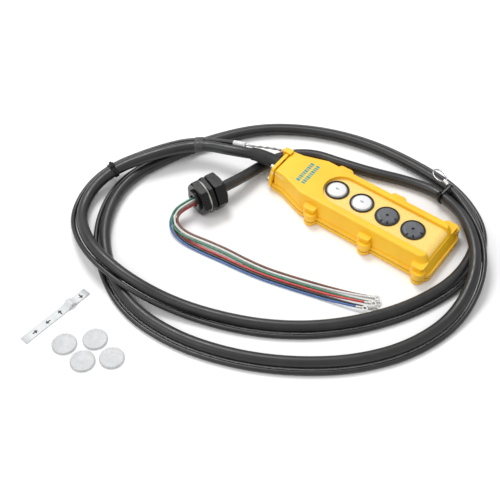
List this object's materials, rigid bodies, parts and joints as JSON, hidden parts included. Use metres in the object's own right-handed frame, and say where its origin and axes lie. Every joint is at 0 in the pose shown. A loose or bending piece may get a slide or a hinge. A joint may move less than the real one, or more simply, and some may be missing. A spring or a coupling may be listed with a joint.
{
  "type": "pendant control station",
  "caption": "Hand-held push-button pendant for a hoist, with two coils of cable, a strain wire, a cable gland and loose cores.",
  "frame": {"origin": "middle of the back cover's outer face, halfway along the case", "axes": "+X along the case from the cable entry to the last button, +Y across the case, +Z out of the button face"},
  "size_m": [0.4047, 0.4211, 0.0349],
  "materials": {
    "case_yellow": "satin moulded polyamide",
    "gasket_black": "matt",
    "screw_steel": "dull zinc plate",
    "screw_red": "copper coloured",
    "cap_white": "semi-gloss",
    "cap_grey": "semi-gloss",
    "ring_grey": "satin",
    "inner_plastic": "satin",
    "plunger_plastic": "satin",
    "spring_steel": "bright",
    "contact_metal": "bright",
    "cable_black": "matt jacket",
    "wire_jacket": "matt jacket",
    "wire_steel": "bright strand",
    "tie_black": "satin nylon",
    "tape_black": "satin tape",
    "gland_black": "semi-gloss nylon",
    "gland_ring": "matt fibre washer",
    "core_blue": "satin insulation",
    "core_brown": "satin insulation",
    "core_red": "satin insulation",
    "core_white": "satin insulation",
    "core_black": "satin insulation",
    "core_green": "satin insulation",
    "terminal_tin": "tin plate",
    "strip_white": "printed card",
    "lens_clear": "clear moulded"
  },
  "bodies": {
    "pendant": {"back_cover": "case_yellow", "block_screws": "screw_steel", "button_seals": "gasket_black", "cable_boot": "gasket_black", "cable_tape_band": "tape_black", "cable_tie_left": "tie_black", "cable_tie_right": "tie_black", "case_gasket": "gasket_black", "contact_block_a": "inner_plastic", "contact_block_b": "inner_plastic", "core_black": "core_black", "core_blue": "core_blue", "core_brown": "core_brown", "core_green": "core_green", "core_red": "core_red", "core_white": "core_white", "cover_screws": "screw_steel", "entry_clamp_plate": "case_yellow", "entry_clamp_screws": "screw_steel", "fixed_contacts": "contact_metal", "front_case": "case_yellow", "gland_body": "gland_black", "gland_dome_nut": "gland_black", "gland_locknut": "gland_black", "gland_seal": "gasket_black", "gland_washer": "gland_ring", "guard_rings": "ring_grey", "inner_leads": "core_black", "legend_strip": "strip_white", "lens_caps": "lens_clear", "pendant_cable": "cable_black", "return_spring_1": "spring_steel", "return_spring_2": "spring_steel", "return_spring_3": "spring_steel", "return_spring_4": "spring_steel", "ring_nuts": "inner_plastic", "ring_terminals": "terminal_tin", "strain_wire_ferrule": "terminal_tin", "strain_wire_jacket": "wire_jacket", "strain_wire_loop": "wire_steel", "strain_wire_rope": "wire_steel", "terminal_screws": "contact_metal", "wire_anchor_lug": "contact_metal", "wire_anchor_screw": "screw_red"},
    "button_1": {"button_cap_1": "cap_white", "button_plunger_1": "plunger_plastic", "moving_contact_1": "contact_metal"},
    "button_2": {"button_cap_2": "cap_white", "button_plunger_2": "plunger_plastic", "moving_contact_2": "contact_metal"},
    "button_3": {"button_cap_3": "cap_grey", "button_plunger_3": "plunger_plastic", "moving_contact_3": "contact_metal"},
    "button_4": {"button_cap_4": "cap_grey", "button_plunger_4": "plunger_plastic", "moving_contact_4": "contact_metal"}
  },
  "joints": [
    {"name": "button_1_press", "type": "slide", "parent": "pendant", "child": "button_1", "axis": [0, 0, -1], "range_m": [0, 0.004], "stiffness_N_per_m": 900, "springref_m": -0.003, "deforming": ["return_spring_1"]},
    {"name": "button_2_press", "type": "slide", "parent": "pendant", "child": "button_2", "axis": [0, 0, -1], "range_m": [0, 0.004], "stiffness_N_per_m": 900, "springref_m": -0.003, "deforming": ["return_spring_2"]},
    {"name": "button_3_press", "type": "slide", "parent": "pendant", "child": "button_3", "axis": [0, 0, -1], "range_m": [0, 0.004], "stiffness_N_per_m": 900, "springref_m": -0.003, "deforming": ["return_spring_3"]},
    {"name": "button_4_press", "type": "slide", "parent": "pendant", "child": "button_4", "axis": [0, 0, -1], "range_m": [0, 0.004], "stiffness_N_per_m": 900, "springref_m": -0.003, "deforming": ["return_spring_4"]}
  ]
}
